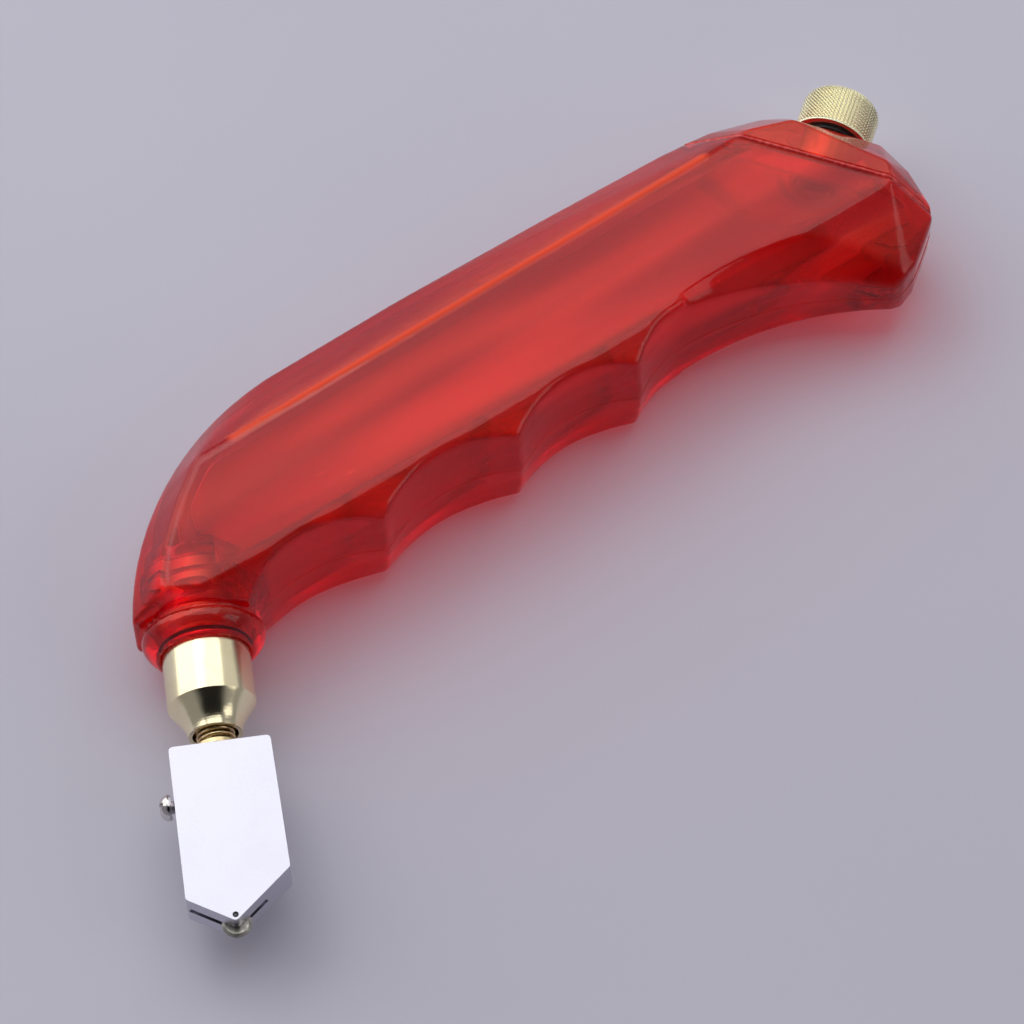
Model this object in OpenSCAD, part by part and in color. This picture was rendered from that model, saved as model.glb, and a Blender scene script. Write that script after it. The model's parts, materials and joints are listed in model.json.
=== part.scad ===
// Oil-fed glass cutter with a pistol grip, lying on its side.
// X runs along the grip's straight back, from the cutting head to the filler screw. The finger
// hollows face -Y. Z goes through the grip's thickness, and the parting plane is at half of it.
// The origin is on the surface the tool lies on, below the centre of its bounding box.

/* [Grip] */
// Thickness of the grip, between its two flat side faces
grip_thick = 20; // [18:0.5:22]
// Depth of the bevel round each side face, measured down from the face
bevel_drop = 6; // [4:0.5:7]
// Wall thickness of the moulding
wall = 2.4; // [2:0.1:2.8]
// Extra depth of the finger hollows where they meet the side faces
hollow_flare = 1.6; // [1:0.1:2.4]

/* [End cap] */
// Angle of the seam's normal from +X
cap_angle = 38; // [34:1:42]
// Distance of the seam plane from the drawing's zero, along its normal
seam_at = 58.3; // [57:0.1:60]
// Depth that the cap's spigot goes into the grip
spigot_len = 2.5; // [2:0.1:3]

/* [Nose] */
// Direction of the nose axis from +X
nose_angle = -115; // [-118:1:-112]
// Radius of the collar ring round the nose
collar_r = 8.5; // [8:0.1:9]
// Radius of the brass ferrule
ferrule_r = 6; // [5.6:0.1:6.2]
// Distance of the cutting head's top edge from the nose datum
head_start = 17.4; // [17:0.1:18]

/* [Head] */
// Thickness of the cutting head
head_thick = 6; // [5.6:0.1:6.4]
// Width of the cutting head
head_w = 13.6; // [13:0.1:14]
// Radius of the cutting wheel
wheel_r = 2; // [1.8:0.1:2.2]
// Thickness of the cutting wheel
wheel_thick = 0.9; // [0.8:0.05:0.95]
// Radius of the wheel's axle
axle_r = 0.4; // [0.35:0.05:0.45]

/* [Filler] */
// Radius of the knurled filler screw
knob_r = 5.75; // [5.5:0.05:6]
// Height of the knurled filler screw
knob_h = 6.8; // [5:0.1:8]

/* [Hidden] */

$fn = 96;
over = 0.01;      // how far a cutting tool runs past a face
run_fit = 0.05;   // radial clearance of a running fit
mid_z = grip_thick / 2;
box_centre = [3.62, -3.75]; // centre of the bounding box in the drawing's own X and Y

// Outline of the grip at its widest, between the two bevels
nose_arc_c = [-17, -14.8];
nose_arc_r = 45.2;
widest = concat(
    [for (a = [151.5:-4:95]) nose_arc_c + nose_arc_r * [cos(a), sin(a)]],
    [[0, 31], [25, 31.2], [46, 31.1], [54, 30.5], [61.6, 28.4], [65, 26.6], [73.8, 15],
     [74.4, 9], [73.5, 2.8], [72.4, 0.6], [69.4, -1.8], [66, -4.3], [63, -5.5], [60, -5.6],
     [-43.4, -2.2]]);

// Outline of the flat side faces
flat_face = [
    [-37.9, 20.9], [57, 24.4], [63, 22.4], [70, 9.2], [68.6, 6.2], [-47.6, 4], [-51.2, 5.9],
    [-50.7, 8], [-48.2, 11.5], [-44.6, 15.2], [-42.4, 17.3],
];

// The oil tank inside, at its widest and at its flat walls
tank_widest = [
    [-46, 12], [-43, 17.6], [-38.4, 22], [-32, 25.6], [-24, 27.6], [0, 28.5], [50, 28.1],
    [59.6, 26.2], [63.2, 24.4], [71, 14.4], [71.4, 8], [70.6, 5.6], [-42, 5.4],
];
tank_flat = [
    [-41.6, 16], [-36.8, 19.6], [56, 22.4], [61.4, 21], [67.8, 9.8], [66.6, 7.6], [-44, 6],
];
tank_bevel = 5.4;

// Finger hollows: centre of the hollow's peak, and its radius at half thickness
hollows = [[-31.5, 2.5, 21], [-9, 2.8, 22], [12.3, 3.3, 18.5], [32.5, 4.4, 16]];
long_hollow_r = 46; // the last hollow runs out to the heel on this radius
heel_bevel_c = [40, -42.6]; // the heel's bevel is part of a cone about this point
heel_bevel_r = 50;

// Stations along the nose axis, counted from the nose datum towards the head
nose_at = [-48.76, 1.82];
groove_at = -1.2;
groove_w = 0.8;
groove_r = 7.4;
collar_end = 3.3;
collar_profile = [[0.8, 8.5], [1.7, 8.1], [2.5, 7.4], [collar_end, 6.3]];
boss_end = -11;
insert_r = 5;
insert_end = -9;
socket_floor = 1.2;
seal_t = 0.6;
tail_r = 4;
tail_end = -10;
shoulder = 10.7;
mouth = 15.1;
mouth_r = 3.7;
chamber_r = 3.1;
chamber_top = -4;
spring_floor = 6.5;
spring_room_r = 3.1;

// Stem that slides in the ferrule and carries the head
stem_r = 1.75;
stem_bore_r = 0.9;
stem_end = -7;
stem_in_head = 9;
wick_r = 0.8;
wick_from = -3;
wick_to = 37.5;
oil_hole_r = 0.4;
oil_hole_at = -3.4;
o_ring_r = 0.5;
o_ring_at = 2.5;
flange_r = 2.9;
flange_t = 0.6;
valve_t = 0.6;
clip_t = 0.5;
groove_depth = 0.45;

// Return spring, between the spring floor and the stem's flange
spring_wire_r = 0.35;
spring_r = 2.3;
spring_turns = 7;
spring_steps = 16; // rings in a turn
spring_sides = 8;

// Cutting head, across from its left edge and along from its top edge
head_left = -6.4;
head_outline = [[0, 0], [head_w, 0], [head_w + 0.4, 19.4], [6.2, 26.1], [0, 22.2]];
wheel_at = [6.2, 25.2];
slot_w = 1.1;
slot_from = 22.3;
lock_at = 7.4;      // along from the head's top edge
lock_r = 0.9;
lock_dome_r = 1.8;
lock_dome_h = 1.6;
lock_neck = 0.5;
lock_tip_gap = 0.1; // between the lock screw's tip and the floor of the stem's groove

// Filler, measured along the cap's normal from the seam plane
filler_s = 18;
cap_face = 9.8;
washer_t = 0.8;
washer_r = 4.9;
recess_depth = 0.5;
recess_r = 5.2;
thread_r = 2.5;
thread_len = 7;
bush_r = 3.8;
bush_len = 8;
boss_r = 5.6;
cement_t = 0.3;
rim_gap = 0.1;      // between the cap's rim and the grip's inner wall
rim_t = 1.2;

seam_n = [cos(cap_angle), sin(cap_angle)];
seam_d = [sin(cap_angle), -cos(cap_angle)];
seam_origin = [50.88, 29.57];
function on_cap(s, t) = seam_origin + s * seam_d + t * seam_n;

// Puts a drawing in the part's own frame
module placed() {
    translate([-box_centre.x, -box_centre.y, 0]) children();
}

// Puts +Z along the nose axis, at half thickness, with +Y across the head
module on_nose() {
    placed() translate([nose_at.x, nose_at.y, mid_z]) rotate([0, 90, nose_angle]) children();
}

// Puts +X along the nose axis and +Y across the head, with +Z up
module beside_nose() {
    placed() translate([nose_at.x, nose_at.y, 0]) rotate([0, 0, nose_angle]) children();
}

// Puts +Z along the filler's axis, with zero on the seam plane
module on_filler() {
    placed() translate([on_cap(filler_s, 0).x, on_cap(filler_s, 0).y, mid_z])
        rotate([0, 90, cap_angle]) children();
}

// A ring or disc from one station to another on the axis
module tube(from, to, r, bore = 0) {
    translate([0, 0, from]) difference() {
        cylinder(h = to - from, r = r);
        if (bore > 0) translate([0, 0, -over]) cylinder(h = to - from + 2 * over, r = bore);
    }
}

// A block with one outline at its widest and another on its two flat faces
module bevelled(wide, flat, low, high, drop) {
    hull() {
        translate([0, 0, low + drop]) linear_extrude(high - low - 2 * drop) polygon(wide);
        translate([0, 0, low]) linear_extrude(high - low) polygon(flat);
    }
}

// The side of the seam plane that the grip is on, moved outward by a distance
module grip_side(out = 0) {
    rotate([0, 0, cap_angle]) translate([-200 + seam_at + out, -100, -1])
        cube([200, 200, grip_thick + 2]);
}

module cap_side(out = 0) {
    rotate([0, 0, cap_angle]) translate([seam_at + out, -100, -1])
        cube([100, 200, grip_thick + 2]);
}

// A spool that hollows the finger side, and flares where it meets the side faces
module spool(r) {
    rotate_extrude() polygon([
        [0, -over], [r + hollow_flare, -over], [r + hollow_flare * 0.5, 1],
        [r + hollow_flare * 0.2, 4.5], [r, mid_z], [r + hollow_flare * 0.2, grip_thick - 4.5],
        [r + hollow_flare * 0.5, grip_thick - 1], [r + hollow_flare, grip_thick + over],
        [0, grip_thick + over],
    ]);
}

module finger_hollows() {
    for (h = hollows) translate([h[0], h[1] - h[2], 0]) spool(h[2]);
    last = hollows[len(hollows) - 1];
    intersection() {
        union() {
            translate([last[0], last[1] - long_hollow_r, 0]) spool(long_hollow_r);
            for (flip = [0, 1]) translate([heel_bevel_c.x, heel_bevel_c.y, mid_z])
                mirror([0, 0, flip]) cylinder(h = mid_z, r1 = heel_bevel_r - mid_z, r2 = heel_bevel_r);
        }
        translate([last[0], -20, -1]) cube([40, 40, grip_thick + 2]);
    }
}

module handle_body() {
    color([0.75, 0.08, 0.07]) difference() {
        union() {
            placed() difference() {
                intersection() {
                    bevelled(widest, flat_face, 0, grip_thick, bevel_drop);
                    grip_side();
                }
                finger_hollows();
                intersection() {
                    bevelled(tank_widest, tank_flat, wall, grip_thick - wall, tank_bevel);
                    grip_side(1);
                }
            }
            on_nose() {
                tube(boss_end, 0, groove_r);
                rotate_extrude() polygon(concat(
                    [[0, groove_at], [groove_r, groove_at], [groove_r, groove_at + groove_w],
                     [collar_r, groove_at + groove_w]],
                    [for (p = collar_profile) [p[1], p[0]]], [[0, collar_end]]));
            }
        }
        on_nose() {
            tube(groove_at, groove_at + groove_w, collar_r + 1, groove_r);
            tube(boss_end - 1, 0, tail_r + run_fit);
            tube(insert_end, socket_floor + over, insert_r);
            tube(socket_floor, collar_end + 1, ferrule_r + run_fit);
        }
    }
}

// The cap's outer form runs on from the grip's, past the seam, and its rim goes into the grip
module end_cap() {
    color([0.85, 0.12, 0.08]) difference() {
        union() {
            placed() difference() {
                union() {
                    intersection() {
                        bevelled(widest, flat_face, 0, grip_thick, bevel_drop);
                        cap_side(cement_t);
                    }
                    intersection() {
                        inset_tank(rim_gap);
                        cap_side(-spigot_len);
                        grip_side(cement_t + 1);
                    }
                }
                inset_tank(rim_gap + rim_t);
            }
            on_filler() tube(cap_face - bush_len - 1, cap_face - wall + 1, boss_r);
        }
        on_filler() {
            tube(cap_face - bush_len, cap_face, bush_r);
            tube(cap_face - recess_depth, cap_face + 1, recess_r);
            tube(0, cap_face - bush_len + over, thread_r + run_fit);
        }
    }
}

// The tank's form, drawn in all round by an inset
module inset_tank(inset) {
    hull() {
        translate([0, 0, wall + tank_bevel]) linear_extrude(grip_thick - 2 * (wall + tank_bevel))
            offset(delta = -inset) polygon(tank_widest);
        translate([0, 0, wall + inset]) linear_extrude(grip_thick - 2 * (wall + inset))
            offset(delta = -inset) polygon(tank_flat);
    }
}

// The squeezed-out line of cement between the grip and the cap
module seam_cement() {
    color([0.9, 0.55, 0.45]) placed() difference() {
        intersection() {
            bevelled(widest, flat_face, 0, grip_thick, bevel_drop);
            cap_side();
            grip_side(cement_t);
        }
        bevelled(tank_widest, tank_flat, wall, grip_thick - wall, tank_bevel);
    }
}

module filler_insert() {
    color([0.72, 0.6, 0.3]) on_filler()
        tube(cap_face - bush_len, cap_face - recess_depth, bush_r, thread_r + run_fit);
}

module filler_washer() {
    from = cap_face - recess_depth + over;
    color([0.06, 0.06, 0.06]) on_filler()
        tube(from, from + washer_t, washer_r, thread_r + run_fit);
}

module filler_screw() {
    chamfer = 0.5;
    base = cap_face - recess_depth + washer_t + 2 * over;
    color([0.86, 0.78, 0.5]) on_filler() {
        tube(base - thread_len, base + 1, thread_r);
        tube(base, base + knob_h - chamfer, knob_r);
        translate([0, 0, base + knob_h - chamfer])
            cylinder(h = chamfer, r1 = knob_r, r2 = knob_r - chamfer);
    }
}

module nose_insert() {
    color([0.72, 0.58, 0.3]) on_nose() difference() {
        tube(insert_end, socket_floor, insert_r, tail_r + over);
        for (w = [insert_end + 1.5:1.7:socket_floor - 1]) tube(w, w + 0.8, insert_r + 1, insert_r - 0.4);
    }
}

module nose_ferrule() {
    seat = socket_floor + seal_t;
    color([0.86, 0.78, 0.52]) on_nose() difference() {
        union() {
            tube(tail_end, seat, tail_r);
            tube(seat, shoulder, ferrule_r);
            translate([0, 0, shoulder]) cylinder(h = mouth - shoulder, r1 = ferrule_r, r2 = mouth_r);
        }
        tube(tail_end - 1, chamber_top, chamber_r);
        tube(chamber_top - over, spring_floor + over, stem_r + run_fit);
        tube(spring_floor, mouth + 1, spring_room_r);
        tube(o_ring_at - o_ring_r, o_ring_at + o_ring_r, stem_r + 2 * o_ring_r);
    }
}

module ferrule_seal() {
    color([0.1, 0.1, 0.1]) on_nose()
        tube(socket_floor, socket_floor + seal_t, ferrule_r - 0.1, tail_r + 0.1);
}

module spindle_seal() {
    color([0.08, 0.08, 0.08]) on_nose() translate([0, 0, o_ring_at]) rotate_extrude()
        translate([stem_r + run_fit + o_ring_r * 0.9, 0]) circle(r = o_ring_r * 0.9, $fn = 24);
}

module spindle() {
    clip_from = chamber_top - valve_t - clip_t;
    color([0.75, 0.66, 0.4]) on_nose() difference() {
        union() {
            tube(stem_end, head_start + stem_in_head, stem_r);
            tube(head_start - flange_t - 0.1, head_start - 0.1, flange_r);
        }
        tube(oil_hole_at, head_start + stem_in_head + 1, stem_bore_r);
        translate([0, 0, oil_hole_at]) rotate([90, 0, 0])
            cylinder(h = 2 * stem_r + 1, r = oil_hole_r, center = true);
        tube(clip_from, clip_from + clip_t, stem_r + 1, stem_r - groove_depth);
        tube(head_start + lock_at - lock_r - 0.2, head_start + lock_at + lock_r + 0.2,
             stem_r + 1, stem_r - groove_depth);
    }
}

module valve_washer() {
    color([0.12, 0.12, 0.12]) on_nose()
        tube(chamber_top - valve_t, chamber_top - over, chamber_r - 0.4, stem_r);
}

module retaining_clip() {
    clip_from = chamber_top - valve_t - clip_t;
    color([0.6, 0.6, 0.62]) on_nose() difference() {
        tube(clip_from, clip_from + clip_t, chamber_r - 0.3, stem_r - groove_depth);
        translate([0, 0, clip_from - 1]) linear_extrude(clip_t + 2)
            polygon([[0, 0], [3, -5], [5, -3]]);
    }
}

module oil_wick() {
    color([0.85, 0.82, 0.72]) on_nose() tube(wick_from, wick_to, wick_r);
}

// One ring of the spring's wire for each step, swept along the helix
module return_spring() {
    from = spring_floor + spring_wire_r + 0.02;
    to = head_start - flange_t - 0.1 - spring_wire_r - 0.02;
    steps = spring_turns * spring_steps;
    rings = [for (i = [0:steps]) let(a = 360 * i / spring_steps, w = from + (to - from) * i / steps)
        [for (k = [0:spring_sides - 1]) let(b = 360 * k / spring_sides,
                                            r = spring_r + spring_wire_r * cos(b))
            [r * cos(a), r * sin(a), w + spring_wire_r * sin(b)]]];
    points = [for (ring = rings) each ring];
    faces = concat(
        [[for (k = [0:spring_sides - 1]) k]],
        [for (i = [0:steps - 1]) for (k = [0:spring_sides - 1]) let(m = (k + 1) % spring_sides)
            each [[i * spring_sides + k, (i + 1) * spring_sides + k, (i + 1) * spring_sides + m],
                  [i * spring_sides + k, (i + 1) * spring_sides + m, i * spring_sides + m]]],
        [[for (k = [spring_sides - 1:-1:0]) steps * spring_sides + k]]);
    color([0.8, 0.68, 0.4]) on_nose() polyhedron(points, faces);
}

module cutter_head() {
    lock_w = head_start + lock_at;
    color([0.88, 0.88, 0.92]) difference() {
        beside_nose() translate([head_start, head_left, mid_z - head_thick / 2])
            linear_extrude(head_thick) polygon([for (p = head_outline) [p.y, p.x]]);
        on_nose() {
            tube(head_start - 1, head_start + stem_in_head + 0.1, stem_r + run_fit);
            tube(head_start, head_start + slot_from + 1, stem_bore_r);
        }
        beside_nose() translate([head_start + slot_from, head_left - 1, mid_z - slot_w / 2])
            cube([20, head_w + 2, slot_w]);
        beside_nose() translate([head_start + wheel_at.y, head_left + wheel_at.x, 0])
            cylinder(h = grip_thick, r = axle_r);
        beside_nose() translate([lock_w, head_left - 1, mid_z]) rotate([-90, 0, 0])
            cylinder(h = 1 - head_left, r = lock_r + run_fit);
    }
}

module lock_screw() {
    tip = stem_r - groove_depth + lock_tip_gap;
    color([0.8, 0.8, 0.84]) beside_nose() translate([head_start + lock_at, 0, mid_z])
        rotate([90, 0, 0]) {
            translate([0, 0, tip]) cylinder(h = lock_neck - head_left - tip + over, r = lock_r);
            translate([0, 0, lock_neck - head_left]) intersection() {
                cylinder(h = lock_dome_h, r = lock_dome_r);
                translate([0, 0, lock_dome_h - 2.1]) sphere(r = 2.1);
            }
        }
}

module wheel_axle() {
    color([0.2, 0.2, 0.22]) beside_nose()
        translate([head_start + wheel_at.y, head_left + wheel_at.x, mid_z - head_thick / 2])
            cylinder(h = head_thick, r = axle_r);
}

// The wheel's rim comes to a blunt edge
module cutting_wheel() {
    land = 0.1;
    color([0.6, 0.6, 0.56]) beside_nose()
        translate([head_start + wheel_at.y, head_left + wheel_at.x, mid_z]) rotate_extrude()
            polygon([[axle_r + run_fit, -wheel_thick / 2], [wheel_r - 0.4, -wheel_thick / 2],
                     [wheel_r, -land], [wheel_r, land], [wheel_r - 0.4, wheel_thick / 2],
                     [axle_r + run_fit, wheel_thick / 2]]);
}

handle_body();
end_cap();
seam_cement();
filler_insert();
filler_washer();
filler_screw();
nose_insert();
nose_ferrule();
ferrule_seal();
spindle_seal();
spindle();
valve_washer();
retaining_clip();
oil_wick();
return_spring();
cutter_head();
lock_screw();
wheel_axle();
cutting_wheel();
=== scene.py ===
"""The looks of a glass cutter: a clear red pistol grip, a pale brass nose, a plated head and a knurled knob.

Everything is in metres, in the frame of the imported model. Each sub-assembly is a class that takes its
places from the model's joints and nodes, holds its own small sizes as fields, and builds and dresses its
pieces. Each finish is a frozen dataclass that makes one material.
"""

import json
import logging
import math
from dataclasses import dataclass
from enum import Enum
from typing import Callable, Iterable, Optional, Sequence, Union

import bmesh
import bpy
from mathutils import Matrix, Vector
from mathutils.bvhtree import BVHTree


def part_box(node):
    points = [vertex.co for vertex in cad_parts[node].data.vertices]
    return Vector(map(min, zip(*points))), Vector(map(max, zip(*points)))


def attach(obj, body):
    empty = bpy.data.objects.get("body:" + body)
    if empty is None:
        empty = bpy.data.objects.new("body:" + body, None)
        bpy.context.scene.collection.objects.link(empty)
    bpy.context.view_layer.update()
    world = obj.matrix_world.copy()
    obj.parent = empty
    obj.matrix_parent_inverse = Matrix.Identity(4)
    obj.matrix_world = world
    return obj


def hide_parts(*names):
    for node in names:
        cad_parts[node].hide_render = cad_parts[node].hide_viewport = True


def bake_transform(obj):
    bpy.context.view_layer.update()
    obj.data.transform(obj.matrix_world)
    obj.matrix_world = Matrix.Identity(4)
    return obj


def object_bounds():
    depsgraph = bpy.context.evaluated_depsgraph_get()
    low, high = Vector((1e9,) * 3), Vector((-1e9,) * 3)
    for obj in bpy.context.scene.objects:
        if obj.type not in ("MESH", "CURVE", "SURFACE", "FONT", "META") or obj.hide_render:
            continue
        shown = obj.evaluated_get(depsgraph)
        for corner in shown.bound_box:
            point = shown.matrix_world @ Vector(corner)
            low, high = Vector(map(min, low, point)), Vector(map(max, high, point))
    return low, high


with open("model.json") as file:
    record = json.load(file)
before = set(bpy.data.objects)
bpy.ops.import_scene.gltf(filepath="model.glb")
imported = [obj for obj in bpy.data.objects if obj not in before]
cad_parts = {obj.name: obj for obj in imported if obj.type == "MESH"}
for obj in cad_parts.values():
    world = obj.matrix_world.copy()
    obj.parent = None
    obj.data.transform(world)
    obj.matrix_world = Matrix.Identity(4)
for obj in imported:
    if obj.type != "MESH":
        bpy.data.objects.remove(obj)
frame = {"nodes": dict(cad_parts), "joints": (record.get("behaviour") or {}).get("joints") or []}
CAD_LOW, CAD_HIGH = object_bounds()

MM = 0.001
INNER = "inner"  # the mesh attribute that is 1 on the walls of the oil tank
# The side attribute marks where the resin paints shade: a deeper red and a weaker reflection on upright walls.
SHADED_SIDE = "side"  # 1 where a wall stands upright and one looks through a greater depth of resin
# The edge attribute marks where the resin paints a glow, an opaque brighter orange, for light carried along the
# bevels.
EDGE = "edge"  # 1 along the bevel edges that gather light
log = logging.getLogger("glass_cutter")

Colour = tuple[float, float, float]
Number = Union[float, "Value"]


class Body(Enum):
    """The bodies that pieces ride on."""

    HANDLE = "handle"
    STEM = "stem"
    HEAD = "head"
    WHEEL = "wheel"
    LOCK = "lock"
    WASHER = "washer"
    FILLER = "filler"


class Slot(Enum):
    """The material slots of the record."""

    RED_RESIN = "red_resin"
    CAP_RESIN = "cap_resin"
    CEMENT = "cement"
    TURNED_BRASS = "turned_brass"
    POLISHED_BRASS = "polished_brass"
    KNURLED_BRASS = "knurled_brass"
    BLACK_RUBBER = "black_rubber"
    SPRING_STEEL = "spring_steel"
    SPRING_WIRE = "spring_wire"
    WICK_FELT = "wick_felt"
    SATIN_CHROME = "satin_chrome"
    BRIGHT_CHROME = "bright_chrome"
    AXLE_STEEL = "axle_steel"
    CARBIDE = "carbide"


# ---------------------------------------------------------------------------------------------------
# Shader maths
# ---------------------------------------------------------------------------------------------------


class Value:
    """A number that varies over a surface. Python's operators on it add Math nodes."""

    def __init__(self, shade: "Shade", socket: bpy.types.NodeSocket) -> None:
        """Wraps a node's output socket."""
        self.shade = shade
        self.socket = socket

    def _with(self, operation: str, first: Number, second: Number = 0.0) -> "Value":
        """Adds one Math node.

        Args:
            operation: The Math node's operation.
            first: Its first input.
            second: Its second input.

        Returns:
            The node's result.
        """
        made = self.shade.node("ShaderNodeMath", {"operation": operation}, {0: first, 1: second})
        return Value(self.shade, made.outputs[0])

    def __add__(self, other: Number) -> "Value":
        """self + other."""
        return self._with("ADD", self, other)

    def __radd__(self, other: Number) -> "Value":
        """other + self."""
        return self._with("ADD", other, self)

    def __mul__(self, other: Number) -> "Value":
        """self * other."""
        return self._with("MULTIPLY", self, other)

    def __rmul__(self, other: Number) -> "Value":
        """other * self."""
        return self._with("MULTIPLY", other, self)

    def ramp(
        self, low: float, high: float, from_value: float = 0.0, to_value: float = 1.0, curve: str = "SMOOTHSTEP"
    ) -> "Value":
        """Maps low..high to from_value..to_value, and holds the ends.

        Args:
            low: The value where the change starts.
            high: The value where it ends.
            from_value: The result at low.
            to_value: The result at high.
            curve: The Map Range node's interpolation between them.

        Returns:
            The mapped value.
        """
        made = self.shade.node(
            "ShaderNodeMapRange",
            {"interpolation_type": curve},
            {"Value": self, "From Min": low, "From Max": high, "To Min": from_value, "To Max": to_value},
        )
        return Value(self.shade, made.outputs["Result"])


Input = Union[float, Sequence[float], Value, bpy.types.NodeSocket]


class Shade:
    """A material, or the world, while it is being made."""

    def __init__(self, name: str, holder: Optional[bpy.types.World] = None) -> None:
        """Starts an empty node tree.

        Args:
            name: The name of the new material.
            holder: The world that holds the tree instead, if it is one.
        """
        self.holder = holder or bpy.data.materials.new(name)
        self.holder.use_nodes = True
        self.tree = self.holder.node_tree
        self.tree.nodes.clear()

    def node(
        self,
        kind: str,
        settings: Optional[dict[str, object]] = None,
        inputs: Optional[dict[object, Input]] = None,
    ) -> bpy.types.Node:
        """Adds a node.

        Args:
            kind: Blender's name for the type of node.
            settings: The node's own settings, which are set first.
            inputs: A value or a link for each of its sockets, by name or by place.

        Returns:
            The new node.
        """
        made = self.tree.nodes.new(kind)
        for name, value in (settings or {}).items():
            setattr(made, name, value)
        for name, value in (inputs or {}).items():
            socket = made.inputs[name]
            if isinstance(value, Value):
                self.tree.links.new(value.socket, socket)
            elif isinstance(value, bpy.types.NodeSocket):
                self.tree.links.new(value, socket)
            else:
                socket.default_value = value
        return made

    def place(
        self, stretch: Sequence[float] = (1, 1, 1), turn: Sequence[float] = (0, 0, 0)
    ) -> bpy.types.NodeSocket:
        """The point on the surface, in metres in the piece's own space.

        Args:
            stretch: What each axis is multiplied by.
            turn: The angles that the pattern is turned by, in radians.

        Returns:
            A vector socket for a texture.
        """
        coordinates = self.node("ShaderNodeTexCoord").outputs["Object"]
        mapping = self.node(
            "ShaderNodeMapping", {"vector_type": "POINT"},
            {"Vector": coordinates, "Rotation": turn, "Scale": stretch},
        )
        return mapping.outputs["Vector"]

    def noise(
        self, size: float, detail: float = 2.0, roughness: float = 0.5,
        stretch: Sequence[float] = (1, 1, 1), turn: Sequence[float] = (0, 0, 0),
    ) -> Value:
        """Soft noise from 0 to 1.

        Args:
            size: How wide one cloud of it is, in metres.
            detail: How many finer layers it has.
            roughness: How strong the finer layers are.
            stretch: What each axis is multiplied by first.
            turn: The angles that the pattern is turned by, in radians.

        Returns:
            The noise.
        """
        made = self.node(
            "ShaderNodeTexNoise", {"noise_dimensions": "3D"},
            {"Vector": self.place(stretch, turn), "Scale": 1 / size, "Detail": detail, "Roughness": roughness},
        )
        return Value(self, made.outputs["Fac"])

    def specks(self, size: float, radius: float) -> Value:
        """Small round marks: 1 at the middle of each, and 0 between them.

        Args:
            size: The distance between them, in metres.
            radius: Their radius as a share of that distance.

        Returns:
            The marks.
        """
        made = self.node(
            "ShaderNodeTexVoronoi", {"feature": "F1"}, {"Vector": self.place(), "Scale": 1 / size},
        )
        return Value(self, made.outputs["Distance"]).ramp(0.0, radius, 1.0, 0.0)

    def attribute(self, name: str) -> Value:
        """A mesh attribute as a value."""
        made = self.node("ShaderNodeAttribute", {"attribute_name": name})
        return Value(self, made.outputs["Fac"])

    def mix(self, share: Number, first: Input, second: Input) -> bpy.types.NodeSocket:
        """A colour between two.

        Args:
            share: 0 for the first colour, and 1 for the second.
            first: A colour.
            second: A colour.

        Returns:
            The mixed colour's socket.
        """
        made = self.node("ShaderNodeMix", {"data_type": "RGBA"})
        for place, value in ((0, share), (6, first), (7, second)):
            socket = made.inputs[place]
            if isinstance(value, (Value, bpy.types.NodeSocket)):
                self.tree.links.new(value.socket if isinstance(value, Value) else value, socket)
            else:
                socket.default_value = value if place == 0 else (*value[:3], 1.0)
        return made.outputs[2]

    def bump(self, height: Value, depth: float, strength: float = 1.0) -> bpy.types.NodeSocket:
        """A normal from a height.

        Args:
            height: The height, where 1 is the full depth.
            depth: The full depth, in metres.
            strength: How much of it shows.

        Returns:
            The normal's socket.
        """
        made = self.node("ShaderNodeBump", inputs={"Height": height, "Distance": depth, "Strength": strength})
        return made.outputs["Normal"]

    def surface(self, inputs: dict[object, Input]) -> bpy.types.NodeSocket:
        """A Principled shader with these inputs."""
        return self.node("ShaderNodeBsdfPrincipled", inputs=inputs).outputs["BSDF"]

    def done(self, shader: bpy.types.NodeSocket) -> bpy.types.Material:
        """Sends the shader to the output, and gives back the material."""
        self.node("ShaderNodeOutputMaterial", inputs={"Surface": shader})
        return self.holder


def rgba(colour: Colour) -> tuple[float, float, float, float]:
    """A colour with an alpha of 1."""
    return (*colour, 1.0)


# ---------------------------------------------------------------------------------------------------
# Finishes
# ---------------------------------------------------------------------------------------------------


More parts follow.
